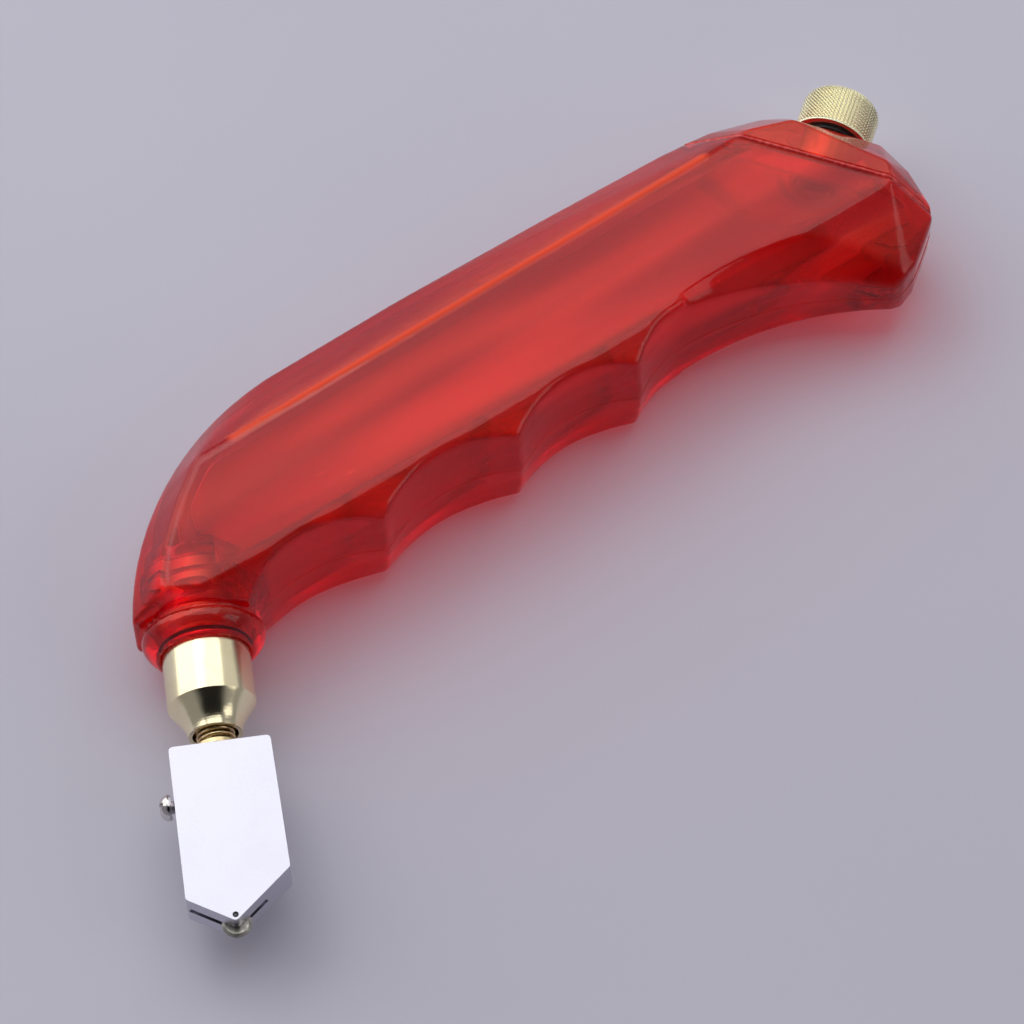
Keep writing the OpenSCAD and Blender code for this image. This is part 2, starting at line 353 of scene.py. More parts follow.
@dataclass(frozen=True)
class ClearResin:
    """Clear tinted plastic with a moulded, slightly hazy inner wall and small handling marks."""

    name: str
    colour: Colour
    # The streak colour is painted shading, standing for the darker streaks that refraction inside the resin
    # gives.
    refraction_streak: Colour
    # The deep colour, side_clear and side_gloss paint shade on upright walls: a darker red and a weaker
    # reflection.
    side_shade_colour: Colour
    # The glow colour is painted light: an opaque, brighter orange laid along the bevel edges.
    painted_glow: Colour
    lamp_tint: Colour
    clear: float = 0.8
    side_clear: float = 0.94
    ior: float = 1.43
    gloss: float = 0.27
    side_gloss: float = 0.05
    outer_roughness: float = 0.055
    inner_roughness: float = 0.2
    glow_share: float = 0.95

    def material(self) -> bpy.types.Material:
        """Makes the material.

        Light from lamps passes through tinted, so that what lies under the grip is lit.

        Returns:
            The material.
        """
        shade = Shade(self.name)
        # The cloud lays darker streaks over the body colour: painted shading for refraction inside the resin.
        cloud = shade.noise(11 * MM, detail=2.0, stretch=(0.14, 1, 1), turn=(0, 0, -0.12)).ramp(0.4, 0.66)
        smudge = shade.noise(5 * MM, detail=4.0, roughness=0.6).ramp(0.45, 0.75)
        scratch = shade.noise(0.5 * MM, detail=1.0, stretch=(0.12, 1.6, 1.6), turn=(0, 0, 0.5)).ramp(0.74, 0.78)
        speck = shade.specks(5.5 * MM, 0.035)
        inner = shade.attribute(INNER)
        side = shade.attribute(SHADED_SIDE)
        roughness = (
            inner * (self.inner_roughness - self.outer_roughness)
            + self.outer_roughness + smudge * 0.05 + scratch * 0.05 + speck * 0.2
        )
        height = shade.noise(7 * MM, detail=2.0) + speck * 0.25 + scratch * -0.01
        body = shade.mix(cloud, self.colour, self.refraction_streak)
        normal = shade.bump(height, 0.12 * MM, 0.8)
        flat = shade.surface({
            "Base Color": body, "Roughness": roughness, "IOR": self.ior, "Specular IOR Level": self.gloss,
            "Transmission Weight": self.clear, "Normal": normal,
        })
        # Painted shade: upright walls take a deeper red and a weaker reflection, for the longer path through
        # the resin and the shaded table seen through it.
        upright = shade.surface({
            "Base Color": rgba(self.side_shade_colour), "Roughness": roughness, "IOR": self.ior,
            "Specular IOR Level": self.side_gloss, "Transmission Weight": self.side_clear, "Normal": normal,
        })
        # A painted glow: an opaque, brighter orange along the bevel edges, for the light that the clear resin
        # carries along them.
        lit = shade.surface({
            "Base Color": rgba(self.painted_glow), "Roughness": self.outer_roughness, "IOR": self.ior,
            "Specular IOR Level": self.gloss, "Normal": normal,
        })
        glass = shade.node("ShaderNodeMixShader", inputs={0: side, 1: flat, 2: upright}).outputs["Shader"]
        lamp = shade.node("ShaderNodeBsdfTransparent", inputs={"Color": rgba(self.lamp_tint)})
        rays = shade.node("ShaderNodeLightPath")
        # Lays the painted glow over the glass along the bevel edges.
        edged = shade.node(
            "ShaderNodeMixShader", inputs={0: shade.attribute(EDGE) * self.glow_share, 1: glass, 2: lit},
        )
        both = shade.node(
            "ShaderNodeMixShader",
            inputs={0: rays.outputs["Is Shadow Ray"], 1: edged.outputs["Shader"], 2: lamp.outputs["BSDF"]},
        )
        return shade.done(both.outputs["Shader"])


@dataclass(frozen=True)
class DullResin:
    """A squeezed-out line of cement, a little cloudy."""

    name: str
    colour: Colour
    pale: Colour

    def material(self) -> bpy.types.Material:
        """Makes the material.

        Returns:
            The material.
        """
        shade = Shade(self.name)
        grain = shade.noise(0.9 * MM, detail=3.0).ramp(0.4, 0.7)
        return shade.done(shade.surface({
            "Base Color": shade.mix(grain, self.colour, self.pale),
            "Roughness": grain * 0.25 + 0.22,
            "IOR": 1.48,
            "Normal": shade.bump(grain, 0.04 * MM),
        }))


@dataclass(frozen=True)
class TurnedMetal:
    """Metal turned on a lathe: fine rings across the axis, and thin tarnish."""

    name: str
    colour: Colour
    tarnish: Colour
    along: tuple[float, float, float]
    roughness: float = 0.14
    ring_pitch: float = 0.16 * MM
    ring_depth: float = 0.0015 * MM
    metal: float = 1.0

    def material(self) -> bpy.types.Material:
        """Makes the material.

        Returns:
            The material.
        """
        shade = Shade(self.name)
        stain = shade.noise(3.5 * MM, detail=4.0, roughness=0.6).ramp(0.45, 0.8)
        product = shade.node(
            "ShaderNodeVectorMath", {"operation": "DOT_PRODUCT"}, {0: shade.place(), 1: self.along},
        )
        station = Value(shade, product.outputs["Value"])
        rings = shade.node(
            "ShaderNodeTexNoise", {"noise_dimensions": "1D"},
            {"W": station * (1 / self.ring_pitch), "Scale": 1.0, "Detail": 3.0, "Roughness": 0.7},
        )
        ring = Value(shade, rings.outputs["Fac"])
        speck = shade.specks(1.9 * MM, 0.05)
        return shade.done(shade.surface({
            "Base Color": shade.mix(stain * 0.5 + speck * 0.5, self.colour, self.tarnish),
            "Metallic": self.metal,
            "Roughness": self.roughness + stain * 0.06 + ring * 0.05 + speck * 0.2,
            "Normal": shade.bump(ring, self.ring_depth * 10, 0.35),
        }))


@dataclass(frozen=True)
class PlatedMetal:
    """Plated metal with a fine satin grain and small dings."""

    name: str
    colour: Colour
    dull: Colour
    roughness: float = 0.2
    grain_depth: float = 0.004 * MM

    def material(self) -> bpy.types.Material:
        """Makes the material.

        Returns:
            The material.
        """
        shade = Shade(self.name)
        cloud = shade.noise(6 * MM, detail=3.0).ramp(0.35, 0.75)
        grain = shade.noise(0.6 * MM, detail=1.0)
        brushed = shade.noise(0.12 * MM, detail=2.0, stretch=(0.08, 1, 1), turn=(0, 0, 1.1))
        ding = shade.specks(2.6 * MM, 0.04)
        return shade.done(shade.surface({
            "Base Color": shade.mix(cloud * 0.7 + ding * 0.3, self.colour, self.dull),
            "Metallic": 1.0,
            "Roughness": self.roughness + cloud * 0.04 + brushed * 0.03 + ding * 0.05,
            "Normal": shade.bump(grain, self.grain_depth, 0.05),
        }))


@dataclass(frozen=True)
class PlainMetal:
    """Ground or drawn metal that stays bright under a film of oil."""

    name: str
    colour: Colour
    dark: Colour
    roughness: float = 0.25
    coat: float = 0.3

    def material(self) -> bpy.types.Material:
        """Makes the material.

        Returns:
            The material.
        """
        shade = Shade(self.name)
        film = shade.noise(0.8 * MM, detail=3.0).ramp(0.35, 0.75)
        return shade.done(shade.surface({
            "Base Color": shade.mix(film, self.colour, self.dark),
            "Metallic": 1.0,
            "Roughness": film * 0.12 + self.roughness,
            "Coat Weight": self.coat,
            "Normal": shade.bump(shade.noise(0.15 * MM, detail=2.0), 0.004 * MM, 0.5),
        }))


@dataclass(frozen=True)
class Rubber:
    """Black rubber with a faint bloom."""

    name: str
    colour: Colour = (0.012, 0.012, 0.013)
    bloom: Colour = (0.045, 0.045, 0.048)

    def material(self) -> bpy.types.Material:
        """Makes the material.

        Returns:
            The material.
        """
        shade = Shade(self.name)
        dust = shade.noise(0.6 * MM, detail=4.0).ramp(0.45, 0.8)
        return shade.done(shade.surface({
            "Base Color": shade.mix(dust, self.colour, self.bloom),
            "Roughness": dust * 0.2 + 0.45,
            "Normal": shade.bump(dust, 0.02 * MM, 0.5),
        }))


@dataclass(frozen=True)
class WickFelt:
    """A twisted, oil-soaked wick."""

    name: str
    colour: Colour = (0.62, 0.55, 0.4)
    dark: Colour = (0.32, 0.25, 0.14)

    def material(self) -> bpy.types.Material:
        """Makes the material.

        Returns:
            The material.
        """
        shade = Shade(self.name)
        strand = shade.noise(0.25 * MM, detail=3.0, roughness=0.6)
        return shade.done(shade.surface({
            "Base Color": shade.mix(strand.ramp(0.3, 0.7), self.dark, self.colour),
            "Roughness": strand * 0.2 + 0.6,
            "Sheen Weight": 0.3,
            "Normal": shade.bump(strand, 0.06 * MM),
        }))


@dataclass(frozen=True)
class Tabletop:
    """A pale lavender sheet, nearly matt."""

    name: str = "Tabletop"
    colour: Colour = (0.62, 0.605, 0.7)
    shadow: Colour = (0.6, 0.585, 0.68)

    def material(self) -> bpy.types.Material:
        """Makes the material.

        Returns:
            The material.
        """
        shade = Shade(self.name)
        cloud = shade.noise(160 * MM, detail=3.0).ramp(0.3, 0.7)
        return shade.done(shade.surface({
            "Base Color": shade.mix(cloud, self.colour, self.shadow),
            "Roughness": cloud * 0.08 + 0.5,
            "Specular IOR Level": 0.25,
        }))


# ---------------------------------------------------------------------------------------------------
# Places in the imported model
# ---------------------------------------------------------------------------------------------------


@dataclass(frozen=True)
class Axis:
    """A turned piece's axis: a point on it, the way that it points, and two directions across it."""

    origin: Vector
    along: Vector
    across: Vector

    @property
    def third(self) -> Vector:
        """The direction that is square to the other two."""
        return self.along.cross(self.across)

    def point(self, station: float, across: float = 0.0, third: float = 0.0) -> Vector:
        """The point at a station along the axis and two distances from it."""
        return self.origin + self.along * station + self.across * across + self.third * third

    def ring(self, station: float, radius: float, angle: float) -> Vector:
        """The point at a station, a radius and an angle about the axis."""
        return self.point(station, radius * math.cos(angle), radius * math.sin(angle))

    def span(self, node: str) -> tuple[float, float]:
        """The first and the last station that a CAD node reaches."""
        stations = [(v.co - self.origin).dot(self.along) for v in frame["nodes"][node].data.vertices]
        return min(stations), max(stations)

    def reach(self, node: str) -> float:
        """The largest radius about the axis that a CAD node reaches."""
        return max(
            (v.co - self.origin).cross(self.along).length for v in frame["nodes"][node].data.vertices
        )


def joint_axis(name: str) -> Axis:
    """The axis of a hinge, with its across direction level with the floor where it can be.

    Args:
        name: The joint's name.

    Returns:
        The axis.
    """
    joint = next(j for j in frame["joints"] if j["name"] == name)
    along = Vector(joint["axis"]).normalized()
    level = Vector((0, 0, 1)).cross(along)
    across = level.normalized() if level.length > 0.5 else Vector((1, 0, 0))
    return Axis(Vector(joint["pos_m"]), along, across)


# ---------------------------------------------------------------------------------------------------
# Mesh work
# ---------------------------------------------------------------------------------------------------

Station = tuple[float, float]


def make_object(name: str, work: bmesh.types.BMesh, smooth: bool = True) -> bpy.types.Object:
    """Turns finished mesh work into an object in the scene.

    Args:
        name: The piece's name.
        work: The mesh work, which is freed.
        smooth: Whether its faces are shaded smooth.

    Returns:
        The new object.
    """
    bmesh.ops.recalc_face_normals(work, faces=work.faces)
    for face in work.faces:
        face.smooth = smooth
    mesh = bpy.data.meshes.new(name)
    work.to_mesh(mesh)
    work.free()
    made = bpy.data.objects.new(name, mesh)
    bpy.context.scene.collection.objects.link(made)
    return made


def rounded(points: Sequence[Station], radius: float, steps: int = 4) -> list[Station]:
    """A closed outline with an arc at each corner.

    Args:
        points: The corners, in order.
        radius: The largest radius of an arc. It is less where a side is short.
        steps: How many sides an arc has.

    Returns:
        The rounded outline.
    """
    outline: list[Station] = []
    count = len(points)
    for i, corner in enumerate(points):
        here = Vector(corner)
        back = Vector(points[i - 1]) - here
        ahead = Vector(points[(i + 1) % count]) - here
        half = back.angle(ahead) / 2
        cut = min(radius / math.tan(half), 0.45 * back.length, 0.45 * ahead.length)
        start = here + back.normalized() * cut
        end = here + ahead.normalized() * cut
        for k in range(steps + 1):
            t = k / steps
            point = start * (1 - t) ** 2 + here * 2 * t * (1 - t) + end * t**2
            outline.append((point.x, point.y))
    return outline


def lathe(name: str, axis: Axis, profile: Sequence[Station], segments: int = 128) -> bpy.types.Object:
    """A turned piece.

    Args:
        name: The piece's name.
        axis: The axis that it is turned on.
        profile: A closed outline, as stations along the axis and radii.
        segments: How many sides it has round the axis.

    Returns:
        The new object.
    """
    work = bmesh.new()
    rings = [
        [work.verts.new(axis.ring(s, max(r, 0.0), math.tau * k / segments)) for k in range(segments)]
        for s, r in profile
    ]
    for i, ring in enumerate(rings):
        following = rings[(i + 1) % len(rings)]
        if profile[i][1] <= 0 and profile[(i + 1) % len(rings)][1] <= 0:
            continue
        for k in range(segments):
            m = (k + 1) % segments
            work.faces.new((ring[k], ring[m], following[m], following[k]))
    bmesh.ops.remove_doubles(work, verts=work.verts, dist=1e-7)
    bmesh.ops.dissolve_degenerate(work, edges=work.edges, dist=1e-8)
    return make_object(name, work)


def sweep(
    name: str, path: Sequence[Vector], radius: Callable[[int], float], sides: int = 12, closed: bool = False
) -> bpy.types.Object:
    """A round bar along a path.

    Args:
        name: The piece's name.
        path: The points of its centre line.
        radius: The bar's radius at each point, from the point's place in the path.
        sides: How many sides it has round the path.
        closed: Whether the last point joins the first.

    Returns:
        The new object.
    """
    work = bmesh.new()
    count = len(path)
    normal = None
    rings = []
    for i, centre in enumerate(path):
        before = path[i - 1] if i or closed else centre
        after = path[(i + 1) % count] if i < count - 1 or closed else centre
        tangent = (after - before).normalized()
        if normal is None:
            normal = tangent.orthogonal().normalized()
        normal = (normal - tangent * normal.dot(tangent)).normalized()
        side = tangent.cross(normal)
        turns = [math.tau * k / sides for k in range(sides)]
        rings.append([
            work.verts.new(centre + (normal * math.cos(a) + side * math.sin(a)) * radius(i)) for a in turns
        ])
    for i in range(count if closed else count - 1):
        ring, following = rings[i], rings[(i + 1) % count]
        for k in range(sides):
            m = (k + 1) % sides
            work.faces.new((ring[k], ring[m], following[m], following[k]))
    if not closed:
        work.faces.new(rings[0])
        work.faces.new(list(reversed(rings[-1])))
    return make_object(name, work)


def slab(name: str, outline: Sequence[Vector], depth: Vector) -> bpy.types.Object:
    """A flat plate with a given outline.

    Args:
        name: The piece's name.
        outline: The corners of its first face, in order.
        depth: What carries the first face to the other.

    Returns:
        The new object.
    """
    work = bmesh.new()
    first = [work.verts.new(p) for p in outline]
    second = [work.verts.new(p + depth) for p in outline]
    work.faces.new(first)
    work.faces.new(list(reversed(second)))
    for i, vertex in enumerate(first):
        k = (i + 1) % len(first)
        work.faces.new((vertex, second[i], second[k], first[k]))
    return make_object(name, work, smooth=False)


def bake_modifiers(piece: bpy.types.Object) -> None:
    """Makes the result of a piece's modifiers its own mesh.

    Args:
        piece: The piece.
    """
    bpy.context.view_layer.update()
    evaluated = piece.evaluated_get(bpy.context.evaluated_depsgraph_get())
    result = bpy.data.meshes.new_from_object(evaluated)
    piece.modifiers.clear()
    old = piece.data
    piece.data = result
    result.name = piece.name
    bpy.data.meshes.remove(old)


def modify(piece: bpy.types.Object, kind: str, settings: dict[str, object]) -> None:
    """Adds a modifier of a kind, with these settings, to a piece."""
    modifier = piece.modifiers.new(kind.title(), kind)
    for name, value in settings.items():
        setattr(modifier, name, value)


def carve(piece: bpy.types.Object, cutters: Iterable[bpy.types.Object]) -> None:
    """Cuts other objects out of a piece, and removes them.

    Args:
        piece: The piece.
        cutters: What is cut out of it.
    """
    cutters = list(cutters)
    for cutter in cutters:
        modify(piece, "BOOLEAN", {"operation": "DIFFERENCE", "solver": "EXACT", "object": cutter})
    bake_modifiers(piece)
    for cutter in cutters:
        bpy.data.objects.remove(cutter)


def moulded_copy(
    name: str, node: str, voxel: float, smoothing: int, share: float, square_to: Vector,
    softness: Callable[[Vector], float],
) -> bpy.types.Object:
    """A copy of a CAD node with the soft edges of a moulding.

    Args:
        name: The piece's name.
        node: The CAD node that it copies.
        voxel: The size of the grid that it is rebuilt on.
        smoothing: How many times it is smoothed.
        share: The share of its triangles that are kept.
        square_to: A level direction that the grid is squared to, so that a seam across it stays crisp.
        softness: How strongly it is smoothed at a point, from 0 to 1.

    Returns:
        The new object.
    """
    turn = Matrix.Rotation(math.atan2(square_to.y, square_to.x), 4, "Z")
    piece = bpy.data.objects.new(name, frame["nodes"][node].data.copy())
    piece.data.transform(turn.inverted())
    bpy.context.scene.collection.objects.link(piece)
    modify(piece, "REMESH", {"mode": "VOXEL", "voxel_size": voxel, "use_smooth_shade": True})
    bake_modifiers(piece)
    piece.data.transform(turn)
    soft = piece.vertex_groups.new(name="soft")
    for vertex in piece.data.vertices:
        soft.add([vertex.index], softness(vertex.co), "REPLACE")
    modify(piece, "SMOOTH", {"factor": 0.5, "iterations": smoothing, "vertex_group": soft.name})
    modify(piece, "DECIMATE", {
        "decimate_type": "COLLAPSE", "ratio": share, "vertex_group": soft.name, "vertex_group_factor": 1.0,
    })
    bake_modifiers(piece)
    piece.vertex_groups.clear()
    for polygon in piece.data.polygons:
        polygon.use_smooth = True
    return piece


def write_attribute(piece: bpy.types.Object, name: str, value: Callable[[bpy.types.MeshVertex], float]) -> None:
    """Writes a mesh attribute.

    Args:
        piece: The piece.
        name: The attribute's name.
        value: Gives the attribute's value at a vertex.
    """
    attribute = piece.data.attributes.new(name, "FLOAT", "POINT")
    for vertex in piece.data.vertices:
        attribute.data[vertex.index].value = value(vertex)


def section(piece: bpy.types.Object, point: Vector, normal: Vector, spacing: float) -> list[Vector]:
    """The longest closed line in which a plane cuts a piece.

    Args:
        piece: The piece.
        point: A point on the plane.
        normal: The plane's normal.
        spacing: The distance between the line's points.

    Returns:
        The line's points, evenly spaced.
    """
    work = bmesh.new()
    work.from_mesh(piece.data)
    bmesh.ops.remove_doubles(work, verts=work.verts, dist=1e-6)
    cut = bmesh.ops.bisect_plane(
        work, geom=work.verts[:] + work.edges[:] + work.faces[:], plane_co=point, plane_no=normal,
    )
    # A dict keeps the order of the cut, and a set would start the line at a different place each run.
    edges = dict.fromkeys(e for e in cut["geom_cut"] if isinstance(e, bmesh.types.BMEdge))
    loops: list[list[Vector]] = []
    while edges:
        first = next(iter(edges))
        del edges[first]
        start, last = first.verts
        line = [start.co.copy(), last.co.copy()]
        while last is not start:
            following = next((e for e in last.link_edges if e in edges), None)
            if following is None:
                break
            del edges[following]
            last = following.other_vert(last)
            line.append(last.co.copy())
        loops.append(line)
    work.free()

    def length(line: list[Vector]) -> float:
        """How long a line is."""
        return sum((b - a).length for a, b in zip(line, line[1:]))

    outer = max(loops, key=length)
    count = max(12, round(length(outer) / spacing))
    step = length(outer) / count
    points = [outer[0]]
    walked = 0.0
    for a, b in zip(outer, outer[1:]):
        stretch = (b - a).length
        while stretch > 0 and walked + stretch >= step * len(points) and len(points) < count:
            points.append(a.lerp(b, (step * len(points) - walked) / stretch))
        walked += stretch
    return points


def inset_line(points: Sequence[Vector], normal: Vector, inset: float) -> list[Vector]:
    """A closed flat line moved inwards.

    Args:
        points: The line's points.
        normal: The normal of its plane.
        inset: How far it moves.

    Returns:
        The moved line.
    """
    count = len(points)
    middle = sum(points, Vector()) / count
    moved = []
    for i, point in enumerate(points):
        inward = normal.cross(points[(i + 1) % count] - points[i - 1]).normalized()
        if inward.dot(middle - point) < 0:
            inward = -inward
        moved.append(point + inward * inset)
    return moved


def dress(
    piece: bpy.types.Object, material: bpy.types.Material, body: Optional[Body],
    replaced: Sequence[str] = (),
) -> bpy.types.Object:
    """Gives a new piece its material and its body.

    Args:
        piece: The piece.
        material: Its material.
        body: The body that it rides on, or None for a piece that bends between two.
        replaced: The CAD nodes that it stands for.

    Returns:
        The same piece.
    """
    piece.data.materials.clear()
    piece.data.materials.append(material)
    if body:
        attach(piece, body.value)
    if replaced:
        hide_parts(*replaced)
    log.info("%s: %d faces", piece.name, len(piece.data.polygons))
    return piece


def dress_node(node: str, material: bpy.types.Material) -> None:
    """Gives a CAD node that stays a finer material.

    Args:
        node: The node.
        material: Its material.
    """
    piece = frame["nodes"][node]
    piece.data.materials.clear()
    piece.data.materials.append(material)
    log.info("%s: CAD node kept", node)


# ---------------------------------------------------------------------------------------------------
# Sub-assemblies
# ---------------------------------------------------------------------------------------------------


@dataclass
class Grip:
    """The hollow red grip and the clear cap that closes its tank."""

    filler: Axis
    voxel: float = 0.34 * MM
    cap_voxel: float = 0.2 * MM
    smoothing: int = 18
    cap_smoothing: int = 26
    kept_share: float = 0.34
    cap_kept_share: float = 0.3
    crisp_width: float = 1.6 * MM
    bead_radius: float = 0.3 * MM
    bead_depth: float = 0.03 * MM
    flash_radius: float = 0.07 * MM
    bead_step: float = 0.4 * MM
    flash_step: float = 0.6 * MM
    flash_share: float = 0.45
    flash_from: float = 18 * MM
    probe: float = 0.5 * MM
    # Where the painted glow lies beside the bevel edges, and how it fades.
    glow_width: float = 1.5 * MM
    glow_fall: float = 1.2
    glow_shift: float = 0.4 * MM
    # In both resins the second colour paints streaks for refraction, the third paints shade on upright walls
    # and the fourth paints a glow along the bevel edges.
    red: ClearResin = ClearResin(
        "RedResin", (1.0, 0.105, 0.065), (0.6, 0.026, 0.034), (0.68, 0.003, 0.01), (1.0, 0.11, 0.045),
        (0.87, 0.34, 0.38),
    )
    orange: ClearResin = ClearResin(
        "CapResin", (1.0, 0.12, 0.05), (0.94, 0.06, 0.03), (0.84, 0.01, 0.01), (1.0, 0.1, 0.04),
        (0.95, 0.4, 0.38), clear=0.7,
    )
    cement: DullResin = DullResin("Cement", (0.6, 0.03, 0.03), (0.8, 0.1, 0.08))

    def build(self) -> None:
        """Builds the grip, the cap, and the cement and flash lines on them."""
        red = self.red.material()
        orange = self.orange.material()
        cement = self.cement.material()
        seam = self.filler.along
        softness = self.softness()
        grip = moulded_copy("grip", "handle_body", self.voxel, self.smoothing, self.kept_share, seam, softness)
        cap = moulded_copy(
            "tank_cap", "end_cap", self.cap_voxel, self.cap_smoothing, self.cap_kept_share, seam, softness,
        )
        for piece, node, material, slot in (
            (grip, "handle_body", red, Slot.RED_RESIN), (cap, "end_cap", orange, Slot.CAP_RESIN),
        ):
            self.mark_walls(piece, node)
            dress(piece, material, Body.HANDLE, [node])
        dress(self.bead(), cement, Body.HANDLE, ["seam_cement"])
        dress(self.flash(grip), red, Body.HANDLE)

    def softness(self) -> Callable[[Vector], float]:
        """How strongly the mouldings are smoothed.

        Returns:
            A function that gives the strength at a point: little beside the seam, and 1 away from it.
        """
        seam = sum(self.filler.span("seam_cement")) / 2

        def strength(point: Vector) -> float:
            """The strength at a point."""
            away = (point - self.filler.origin).dot(self.filler.along) - seam
            return min(1.0, 0.1 + 0.9 * (away / self.crisp_width) ** 2)

        return strength

    def bead(self) -> bpy.types.Object:
        """The line of squeezed-out cement round the seam.

        Returns:
            The piece.
        """
        first, last = self.filler.span("seam_cement")
        middle = self.filler.point((first + last) / 2)
        line = section(frame["nodes"]["seam_cement"], middle, self.filler.along, self.bead_step)
        line = inset_line(line, self.filler.along, self.bead_radius + self.bead_depth)
        return sweep("cement_bead", line, lambda i: self.bead_radius, sides=12, closed=True)

    def flash(self, grip: bpy.types.Object) -> bpy.types.Object:
        """The fine line that the two halves of the mould leave along the finger side.

        Args:
            grip: The grip.

        Returns:
            The piece.
        """
        low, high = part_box("handle_body")
        middle = (low + high) / 2
        line = section(grip, middle, Vector((0, 0, 1)), self.flash_step)
        cut = low.y + self.flash_share * (high.y - low.y)
        start = max(range(len(line)), key=lambda i: line[i].y)
        ordered = line[start:] + line[:start]
        front = [p for p in ordered if p.y < cut and p.x > low.x + self.flash_from]
        return sweep("mould_flash", front, lambda i: self.flash_radius, sides=8)

    def mark_walls(self, piece: bpy.types.Object, node: str) -> None:
        """Writes the attributes that the resin reads: inner walls, upright walls for painted shade, edges for a
        painted glow.

        Args:
            piece: The piece.
            node: The hollow CAD node that it copies.
        """
        inside = self.inside_test(node)
        edges = self.painted_glow_edges()

        def inner(vertex: bpy.types.MeshVertex) -> float:
            """1 on the walls of the tank."""
            return 1.0 if inside(vertex.co + vertex.normal * self.probe) else 0.0

        def side(vertex: bpy.types.MeshVertex) -> float:
            """1 on upright walls, where the resin paints shade, and 0 on flat ones."""
            return min(1.0, max(0.0, (0.96 - abs(vertex.normal.z)) / 0.36))

        def edge(vertex: bpy.types.MeshVertex) -> float:
            """1 on the edges where the glow is painted, and less beside them."""
            away = min(self.away(vertex.co, start, end) for start, end in edges)
            return max(0.0, 1 - away / self.glow_width) ** self.glow_fall

        for name, value in ((INNER, inner), (SHADED_SIDE, side), (EDGE, edge)):
            write_attribute(piece, name, value)

    def painted_glow_edges(self) -> list[tuple[Vector, Vector]]:
        """The long back edges of the grip's two flat faces, where the glow is painted.

        Returns:
            The two ends of each edge.
        """
        low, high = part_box("handle_body")
        work = bmesh.new()
        work.from_mesh(frame["nodes"]["handle_body"].data)
        bmesh.ops.remove_doubles(work, verts=work.verts, dist=1e-6)
        back = [
            e for e in work.edges
            if len(e.link_faces) == 2 and e.calc_face_angle() > 0.2
            and all(abs(v.co.z - high.z) < 0.01 * MM and v.co.y > (low.y + high.y) / 2 for v in e.verts)
        ]
        long = max(back, key=lambda e: e.calc_length())
        start, end = (v.co.copy() for v in long.verts)
        work.free()
        below = Vector((0, 0, low.z - high.z))
        outward = Vector((0, self.glow_shift, 0))
        return [(start + shift + outward, end + shift + outward) for shift in (Vector(), below)]

    @staticmethod
    def away(point: Vector, start: Vector, end: Vector) -> float:
        """The distance of a point from a stretch of line, short of the stretch's ends.

        Args:
            point: The point.
            start: One end of the line.
            end: Its other end.

        Returns:
            The distance.
        """
        whole = end - start
        share = min(0.93, max(0.07, (point - start).dot(whole) / whole.length_squared))
        return (point - (start + whole * share)).length

    def inside_test(self, node: str) -> Callable[[Vector], bool]:
        """A test of whether a point lies in the space that the node encloses.

        Args:
            node: The hollow CAD node.

        Returns:
            A function that tells whether rays both up and down from a point meet the node.
        """
        tree = BVHTree.FromObject(frame["nodes"][node], bpy.context.evaluated_depsgraph_get())

        def inside(point: Vector) -> bool:
            """Whether the node is both above and below the point."""
            return all(tree.ray_cast(point, Vector((0, 0, way)))[0] is not None for way in (1, -1))

        return inside


@dataclass
class Nose:
    """The brass nose: the ferrule, its insert and its seals."""

    axis: Axis
    cone: float = 4.4 * MM
    mouth_radius: float = 3.7 * MM
    room_radius: float = 3.1 * MM
    bore_radius: float = 1.8 * MM
    tail_radius: float = 4.0 * MM
    tail_bore: float = 3.1 * MM
    bore_start: float = 6.0 * MM
    spring_floor: float = 8.6 * MM
    edge: float = 0.12 * MM
    hollow: float = 0.42 * MM
    cone_steps: int = 12

    def build(self) -> None:
        """Builds the ferrule, and dresses what is behind it."""
        along = tuple(self.axis.along)
        brass = TurnedMetal(
            "PolishedBrass", (0.96, 0.86, 0.57), (0.84, 0.7, 0.4), along, roughness=0.15
        ).material()
        dull = TurnedMetal(
            "TurnedBrass", (0.8, 0.62, 0.33), (0.55, 0.4, 0.2), along, roughness=0.3
        ).material()
        rubber = Rubber("NoseRubber").material()
        dress(self.ferrule(), brass, Body.HANDLE, ["nose_ferrule"])
        dress_node("nose_insert", dull)
        for node in ("ferrule_seal", "spindle_seal"):
            dress_node(node, rubber)

    def ferrule(self) -> bpy.types.Object:
        """The ferrule, from its tail in the grip to its thick-rimmed mouth.

        Returns:
            The piece.
        """
        tail, mouth = self.axis.span("nose_ferrule")
        seat = self.axis.span("ferrule_seal")[1]
        radius = self.axis.reach("nose_ferrule")
        floor = mouth - self.spring_floor
        cone = [
            (
                mouth - self.cone * (1 - t),
                radius + (self.mouth_radius - radius) * t - self.hollow * math.sin(math.pi * t**1.3),
            )
            for t in (i / self.cone_steps for i in range(1, self.cone_steps))
        ]
        profile = [
            (tail, self.tail_radius), (seat, self.tail_radius),
            (seat, radius), (mouth - self.cone, radius), *cone,
            (mouth, self.mouth_radius), (mouth, self.room_radius), (floor, self.room_radius),
            (floor, self.bore_radius), (tail + self.bore_start, self.bore_radius),
            (tail + self.bore_start, self.tail_bore), (tail, self.tail_bore),
        ]
        return lathe("ferrule", self.axis, rounded(profile, self.edge), segments=160)


